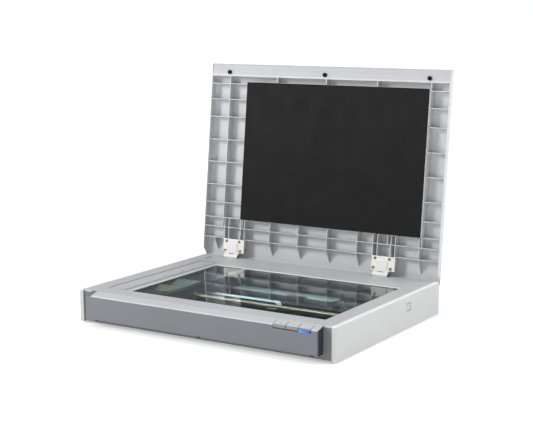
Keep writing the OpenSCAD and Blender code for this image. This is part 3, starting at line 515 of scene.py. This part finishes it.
# ---------------------------------------------------------------- materials of the lid
def lid_look(name):
    """Pale grey lid; the flat strip under its front edge is darker."""
    look = moulded(name, LID_GREY, 0.5)
    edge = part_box(name)[1].z - LID_STRIP * MM
    strip = look.number("MULTIPLY", look.spread(look.axis("Z"), 0.0, 1.0, edge, edge + 0.5 * MM),
                        look.spread(look.facing("Y"), 1.0, 0.0, -0.8, -0.5))
    look.repaint(look.number("MULTIPLY", strip, 0.35), shade(LID_GREY, 0.45))
    return look


def bumper_look(name):
    """Dull black rubber stop."""
    return moulded(name, DEEP_BLACK, 0.8, Specular_IOR_Level=0.1)


def mat_look(name):
    """Black document sheet: even woven emboss and a broad soft sheen."""
    look = Look(name, Specular_IOR_Level=0.14)
    weave = look.ribs(420.0, 0.4)
    cloud = look.noise(4.0, 3.0)
    look.feed("Base Color", look.ramp(cloud, (0.25, (0.0055, 0.0055, 0.0061)),
                                      (0.75, (0.0075, 0.0075, 0.0083))))
    look.feed("Roughness", look.uneven(look.noise(26.0, 5.0), 0.56, 0.68))
    look.relief(weave, 1.2e-5, 0.4)
    return look


def foam_look(name):
    """White closed-cell foam, cut on its edges."""
    look = Look(name, Subsurface_Weight=0.15, Subsurface_Scale=0.002)
    cell = look.cells(1100.0)
    look.feed("Base Color", look.ramp(cell, (0.0, (0.62, 0.62, 0.60)), (0.5, (0.84, 0.84, 0.82))))
    look.feed("Roughness", look.spread(cell, 0.75, 0.95))
    look.relief(cell, 1.5e-4, 0.7)
    return look


MATERIALS = {
    "lower_housing": housing_look,
    "top_frame": frame_look,
    "left_side_panel": panel_look,
    "right_side_panel": panel_look,
    "side_cover": side_cover_look,
    "platen_glass": glass_look,
    "glass_tape": lambda n: film(n, (0.02, 0.02, 0.02), 0.7),
    "calibration_strip": lambda n: film(n, (0.82, 0.82, 0.8), 0.5),
    "front_bar": bar_look,
    "bar_top_strip": lambda n: moulded(n, shade(LIGHT_GREY, 1.02), 0.4),
    "led_lens": lens_look,
    "bar_clips": lambda n: moulded(n, BLACK, 0.5),
    "button_board": board_look,
    "button_switches": lambda n: moulded(n, (0.025, 0.025, 0.027), 0.5),
    "button_1": button_look,
    "button_2": button_look,
    "button_3": button_look,
    "rubber_feet": lambda n: rubber(n, (0.018, 0.018, 0.018)),
    "housing_screws": lambda n: metal(n, (0.6, 0.6, 0.6), 0.32),
    "guide_rod": lambda n: metal(n, (0.46, 0.35, 0.29), 0.5, (3, 60, 60)),
    "rod_holders": lambda n: moulded(n, BLACK_NYLON, 0.55),
    "carriage_frame": lambda n: moulded(n, CHARCOAL, 0.55, CARRIAGE_GRAIN, 4e-5),
    "carriage_cover": lambda n: moulded(n, (0.02, 0.021, 0.022), 0.55, CARRIAGE_GRAIN, 4e-5),
    "perforated_shield": perforated_look,
    "sensor_module": lambda n: moulded(n, (0.018, 0.018, 0.02), 0.5),
    "sensor_window": lambda n: film(n, (0.022, 0.034, 0.036), 0.12),
    "light_guide": lambda n: film(n, (0.80, 0.84, 0.88), 0.18),
    "rod_bushings": lambda n: metal(n, (0.62, 0.42, 0.2), 0.42, (20, 20, 20), 120.0),
    "belt_clamp": lambda n: moulded(n, CHARCOAL, 0.5),
    "glass_sliders": lambda n: moulded(n, (0.75, 0.75, 0.7), 0.35),
    "sensor_springs": lambda n: metal(n, SPRING_STEEL, 0.25),
    "drive_belt": belt_look,
    "idler_pulley": lambda n: moulded(n, NATURAL_NYLON, 0.38),
    "belt_tensioner": lambda n: moulded(n, BLACK_NYLON, 0.55),
    "tension_spring": lambda n: metal(n, SPRING_STEEL, 0.25),
    "motor_bracket": lambda n: metal(n, (0.55, 0.56, 0.57), 0.34, (6, 60, 60)),
    "stepper_motor": lambda n: metal(n, (0.45, 0.46, 0.47), 0.36, (60, 60, 8)),
    "motor_pinion": lambda n: metal(n, (0.7, 0.5, 0.22), 0.25),
    "drive_gear": lambda n: moulded(n, NATURAL_NYLON, 0.38),
    "gear_pin": lambda n: metal(n, BRIGHT_STEEL, 0.22),
    "main_board": board_look,
    "board_chips": lambda n: moulded(n, CHARCOAL, 0.5, COARSE_GRAIN, 1.5e-5),
    "board_cover": cover_look,
    "home_sensor": lambda n: moulded(n, BLACK, 0.5),
    "power_inlet": lambda n: moulded(n, SOCKET_BLACK, 0.45),
    "usb_socket": lambda n: metal(n, BRIGHT_STEEL, 0.26),
    "switch_housing": lambda n: moulded(n, SOCKET_BLACK, 0.5),
    "power_rocker": lambda n: moulded(n, BLACK, 0.32),
    "lid_shell": lid_look,
    "document_mat": mat_look,
    "lid_bumpers": bumper_look,
    "hinge_brackets": lambda n: moulded(n, OFF_WHITE, 0.4),
    "hinge_pins": lambda n: metal(n, (0.10, 0.07, 0.05), 0.4),
    "hinge_legs": lambda n: moulded(n, OFF_WHITE, 0.42),
    "hinge_springs": lambda n: metal(n, (0.5, 0.5, 0.5), 0.3),
}

for name, make in MATERIALS.items():
    mesh = NODES[name].data
    mesh.materials.clear()
    mesh.materials.append(make(name).material)


# ---------------------------------------------------------------- softened edges
def soften(name, width):
    """Rounds a CAD node's sharp edges a little with a modifier; its own mesh stays as it is."""
    bevel = NODES[name].modifiers.new("edges", "BEVEL")
    bevel.width = width * MM
    bevel.segments = 2
    bevel.limit_method = "ANGLE"
    bevel.angle_limit = math.radians(40)
    bevel.use_clamp_overlap = True
    bevel.harden_normals = True


EDGE_WIDTHS = {
    "top_frame": 0.5, "front_bar": 0.5, "bar_top_strip": 0.4,
    "button_1": 0.35, "button_2": 0.35, "button_3": 0.35,
    "hinge_brackets": 0.5, "hinge_legs": 0.5,
}
for name, width in EDGE_WIDTHS.items():
    soften(name, width)


# ---------------------------------------------------------------- pieces made here
def show(name, mesh, look):
    """An object of a mesh, in the scene, with one material."""
    made = bpy.data.objects.new(name, mesh)
    bpy.context.scene.collection.objects.link(made)
    mesh.materials.append(look.material)
    return made


def piece(name, shape, look, body, stands_for=None):
    """Turns a bmesh into a piece of the part, attached to the body if one is given."""
    mesh = bpy.data.meshes.new(name)
    bmesh.ops.recalc_face_normals(shape, faces=shape.faces)
    shape.to_mesh(mesh)
    shape.free()
    made = show(name, mesh, look)
    if stands_for:
        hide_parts(stands_for)
    if body:
        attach(made, body)
    return made


def bridge(shape, low, high):
    """Joins two closed rings of the same length with a band of faces."""
    for i in range(len(low)):
        j = (i + 1) % len(low)
        shape.faces.new((low[i], low[j], high[j], high[i]))


def add_box(shape, low, high):
    made = bmesh.ops.create_cube(shape, size=1.0)["verts"]
    bmesh.ops.scale(shape, vec=high - low, verts=made)
    bmesh.ops.translate(shape, vec=(low + high) / 2, verts=made)


def paper_scale():
    """Printed marks of the paper-size scale, on the frame beside the glass."""
    ink_thick = 0.03
    right = 83.0                     # where the marks end, at the scale's outline
    first_y, pitch, mark_w = 40.0, 8.0, 2.6
    shape = bmesh.new()
    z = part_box("top_frame")[1].z / MM
    for i in range(38):
        y = first_y + pitch * i
        length = 8.0 if i % 5 == 0 else 5.0
        add_box(shape, place(right - length, y, z), place(right, y + mark_w, z + ink_thick))
    for y in (38.0, 186.5, 248.0, 335.0):    # the paper sizes
        add_box(shape, place(right - 16, y, z), place(right - 9, y + 2.2, z + ink_thick))
    ink = film("scale_ink", (0.045, 0.047, 0.05), 0.5)
    piece("scale_marks", shape, ink, "base")


def key_mark(number, colour):
    """Small printed bar with round ends, on a key's sloping top."""
    key = f"button_{number}"
    low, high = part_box(key)
    half_w, half_d, ink_thick = 2.6 * MM, 0.9 * MM, 0.03 * MM
    skirt_out, proud = 0.2 * MM, 0.1 * MM    # of the key, before and above the bar's top
    middle = Vector(((low.x + high.x) / 2, low.y + 5.6 * MM, 0))
    slope = math.atan2(BAR_RISE, BAR_RUN)
    tilt = Matrix.Rotation(slope, 4, "X")
    z = BAR_EDGE_Z * MM + (middle.y - low.y - skirt_out) * math.tan(slope) + proud
    steps = 8
    ring = []
    for end, start in ((1, -90), (-1, 90)):
        for i in range(steps + 1):
            a = math.radians(start + 180 * i / steps)
            ring.append(Vector((end * (half_w - half_d) + half_d * math.cos(a),
                                half_d * math.sin(a), 0)))
    shape = bmesh.new()
    under, over = (
        [shape.verts.new(tilt @ p + Vector((middle.x, middle.y, z + lift))) for p in ring]
        for lift in (0.0, ink_thick)
    )
    shape.faces.new(over)
    shape.faces.new(under[::-1])
    bridge(shape, under, over)
    name = f"key_mark_{number}"
    piece(name, shape, film(name, colour, 0.45), key)


def cable_line(low, high, end_x):
    """The flat cable's middle line, from the board round its turn to the clamp, as x and z."""
    lower_steps, turn_steps, upper_steps = 12, 24, 40
    half = CABLE_THICK * MM / 2
    bend = (high.z - low.z) / 2 - half
    middle = (high.z + low.z) / 2
    turn_x = high.x - bend - half
    line = [(end_x + (turn_x - end_x) * i / lower_steps, middle - bend) for i in range(lower_steps)]
    for i in range(turn_steps + 1):
        a = math.radians(-90 + 180 * i / turn_steps)
        line.append((turn_x + bend * math.cos(a), middle + bend * math.sin(a)))
    for i in range(1, upper_steps + 1):
        line.append((turn_x + (low.x - turn_x) * i / upper_steps, middle + bend))
    return line, turn_x


def flat_cable():
    """The white flat cable: one loop from the board to the clamp under the carriage."""
    low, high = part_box("ribbon_cable")
    end_x = place(CABLE_BOARD_X, 0, 0).x
    thick = CABLE_THICK * MM
    line, turn_x = cable_line(low, high, end_x)
    across = 6                       # faces over its width
    shape = bmesh.new()
    grid = []
    for side in (-0.5, 0.5):
        rows = []
        for k, (x, z) in enumerate(line):
            before, after = line[max(k - 1, 0)], line[min(k + 1, len(line) - 1)]
            run = Vector((after[0] - before[0], 0, after[1] - before[1])).normalized()
            out = Vector((-run.z, 0, run.x)) * side * thick
            rows.append([
                shape.verts.new(Vector((x, low.y + (high.y - low.y) * j / across, z)) + out)
                for j in range(across + 1)
            ])
        grid.append(rows)
    for side, rows in enumerate(grid):
        for a, b in zip(rows, rows[1:]):
            for j in range(across):
                quad = (a[j], a[j + 1], b[j + 1], b[j])
                shape.faces.new(quad if side else quad[::-1])
    one, other = grid
    for j in (0, across):
        for k in range(len(line) - 1):
            shape.faces.new((one[k][j], one[k + 1][j], other[k + 1][j], other[k][j]))
    for k in (0, -1):
        for j in range(across):
            shape.faces.new((one[k][j], one[k][j + 1], other[k][j + 1], other[k][j]))
    cable = piece("flat_cable", shape, cable_look("ribbon_cable"), None,
                  "ribbon_cable")
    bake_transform(cable)


def foam_pad():
    """The mat's foam: a flat pad whose cut edges are slightly crowned."""
    shape = bmesh.new()
    shape.from_mesh(NODES["mat_foam"].data)
    flat = math.radians(1)
    bmesh.ops.dissolve_limit(shape, angle_limit=flat, verts=shape.verts, edges=shape.edges)
    bmesh.ops.bevel(shape, geom=list(shape.edges), offset=0.5 * MM, segments=3, affect="EDGES",
                    profile=0.6)
    pad = piece("foam_pad", shape, foam_look("mat_foam"), "lid", "mat_foam")


def islands(node):
    """The separate solids of a CAD node, each as a list of its points."""
    source = bmesh.new()
    source.from_mesh(NODES[node].data)
    seen = set()
    found = []
    for first in source.verts:
        if first in seen:
            continue
        seen.add(first)
        stack, points = [first], []
        while stack:
            vert = stack.pop()
            points.append(vert.co.copy())
            for edge in vert.link_edges:
                other = edge.other_vert(vert)
                if other not in seen:
                    seen.add(other)
                    stack.append(other)
        found.append(points)
    source.free()
    return found


def hinge_screw_heads():
    """Pan-head screws with a cross recess, in the places of the plain CAD ones."""
    angle = math.radians(LID_OPEN)
    out = Vector((0, -math.sin(angle), -math.cos(angle)))    # where the open lid's inside looks
    shape = bmesh.new()
    for points in islands("hinge_screws"):
        top = max(p.dot(out) for p in points)
        rim = [p for p in points if top - p.dot(out) < 1e-5]
        screw(shape, sum(rim, Vector()) / len(rim), out)
    brass = metal("hinge_screws", SCREW_BRASS, 0.34, (30, 30, 30), 90.0)
    piece("hinge_screw_heads", shape, brass, "lid", "hinge_screws")


def screw(shape, top, out):
    """One domed head with a cross recess, and its shank; top is the middle of its flat top."""
    side = Vector((1, 0, 0))
    up = out.cross(side)
    head, radius, shank_r = SCREW_HEAD * MM, SCREW_HEAD_R * MM, SCREW_SHANK_R * MM
    segments = 24

    def vert(x, y, height):
        return shape.verts.new(top + out * height + side * x + up * y)

    profile = ((shank_r, -head - SCREW_SHANK * MM), (shank_r, -head), (radius, -head),
               (radius, -0.55 * head), (0.88 * radius, -0.18 * head), (0.62 * radius, 0.0))
    turns = [2 * math.pi * i / segments for i in range(segments)]
    rings = [[vert(r * math.cos(a), r * math.sin(a), h) for a in turns] for r, h in profile]
    for low, high in zip(rings, rings[1:]):
        bridge(shape, low, high)
    shape.faces.new(rings[0][::-1])
    # The recess: the top ring steps in to a cross outline, which goes down to a smaller one
    arm, half = 0.5 * radius, 0.12 * radius
    corners = []
    for quarter in range(4):
        cos, sin = math.cos(math.pi / 2 * quarter), math.sin(math.pi / 2 * quarter)
        for x, y in ((arm, -half), (arm, half), (half, half)):
            corners.append((x * cos - y * sin, x * sin + y * cos))
    cross = [vert(x, y, 0) for x, y in corners]
    pit = [vert(0.8 * x, 0.8 * y, -0.6 * head) for x, y in corners]
    rim = rings[-1]
    for i in range(len(corners)):
        j = (i + 1) % len(corners)
        near = (rim[(2 * i + step) % segments] for step in (-1, 0, 1))
        shape.faces.new((*near, cross[j], cross[i]))
    bridge(shape, cross, pit)
    shape.faces.new(pit)


paper_scale()
key_mark(1, (0.72, 0.25, 0.06))
key_mark(2, (0.12, 0.45, 0.16))
flat_cable()
foam_pad()
hinge_screw_heads()


# ---------------------------------------------------------------- floor, light and camera
def floor():
    """A pale sweep, lit from behind more and more with the distance."""
    look = Look("floor")
    cloud = look.noise(0.8, 3.0)
    tone = look.ramp(cloud, (0.3, (0.86, 0.86, 0.865)), (0.7, (0.88, 0.88, 0.88)))
    look.feed("Base Color", tone)
    look.feed("Roughness", look.spread(cloud, 0.75, 0.85))
    reach = look.node("ShaderNodeVectorMath", operation="LENGTH")
    look.join(look.position, reach.inputs[0])
    look.bsdf.inputs["Emission Color"].default_value = (1, 1, 1, 1)
    near_glow, far_glow, near, far = 0.34, 1.0, 0.45, 2.6    # distances in metres
    glow = look.spread(reach.outputs["Value"], near_glow, far_glow, near, far)
    look.feed("Emission Strength", glow)
    mesh = bpy.data.meshes.new("floor")
    half = 150.0
    corners = [(-half, -half, 0), (half, -half, 0), (half, half, 0), (-half, half, 0)]
    mesh.from_pydata(corners, [], [(0, 1, 2, 3)])
    show("floor", mesh, look)


def turn_to(made, direction):
    """Points a lamp or camera along a direction, upright."""
    made.rotation_mode = "QUATERNION"
    made.rotation_quaternion = direction.to_track_quat("-Z", "Y")


def softbox(name, at, aim, width, height, power):
    data = bpy.data.lights.new(name, "AREA")
    data.shape = "RECTANGLE"
    data.size, data.size_y = width, height
    data.energy = power
    lamp = bpy.data.objects.new(name, data)
    bpy.context.scene.collection.objects.link(lamp)
    lamp.location = at
    turn_to(lamp, Vector(aim) - Vector(at))


# Brightness of the studio against the height of the direction, from the horizon up
STUDIO_LEVELS = ((0.02, 1.0), (0.06, 0.125), (0.40, 0.134), (0.62, 0.43))
HORIZON = (1, 1, 1, 1)
OVERHEAD = (0.456, 0.466, 0.48, 1)


def studio():
    """A pale studio: white at the horizon, brighter overhead, and greyer walls in between."""
    world = bpy.data.worlds.new("studio")
    bpy.context.scene.world = world
    world.use_nodes = True
    tree = world.node_tree
    background = tree.nodes["Background"]
    coords = tree.nodes.new("ShaderNodeTexCoord")
    parts = tree.nodes.new("ShaderNodeSeparateXYZ")
    ramp = tree.nodes.new("ShaderNodeValToRGB")
    tree.links.new(coords.outputs["Generated"], parts.inputs["Vector"])
    tree.links.new(parts.outputs["Z"], ramp.inputs["Fac"])
    tree.links.new(ramp.outputs["Color"], background.inputs["Color"])
    elements = ramp.color_ramp.elements
    elements[0].position, elements[0].color = 0.0, HORIZON
    elements[1].position, elements[1].color = 1.0, OVERHEAD
    for at, level in STUDIO_LEVELS:
        elements.new(at).color = (level, level, level, 1)
    background.inputs["Strength"].default_value = 1.0


def camera():
    """The view of the front right, from a little above."""
    azimuth, elevation = math.radians(31.957), math.radians(9.215)
    data = bpy.data.cameras.new("camera")
    data.lens = 85.3
    data.sensor_width = 36.0
    data.clip_start, data.clip_end = 0.05, 200.0
    made = bpy.data.objects.new("camera", data)
    bpy.context.scene.collection.objects.link(made)
    made.location = place(1612.6, -1884.8, 618.4)
    back = Vector((
        math.sin(azimuth) * math.cos(elevation),
        -math.cos(azimuth) * math.cos(elevation),
        math.sin(elevation),
    ))
    turn_to(made, -back)
    bpy.context.scene.camera = made


floor()
studio()
softbox("key", (-2.25, -2.45, 1.8), (0, 0.1, 0.2), 1.2, 1.2, 88)
softbox("front", (1.1, -2.9, 0.8), (0, 0.1, 0.2), 1.4, 1.0, 16)
softbox("side", (2.7, 1.3, 1.1), (0, 0.0, 0.1), 1.2, 1.2, 46)
softbox("top", (0.1, 0.3, 2.6), (0, 0, 0), 1.6, 1.6, 24)
camera()
bpy.context.scene.view_settings.view_transform = "Standard"
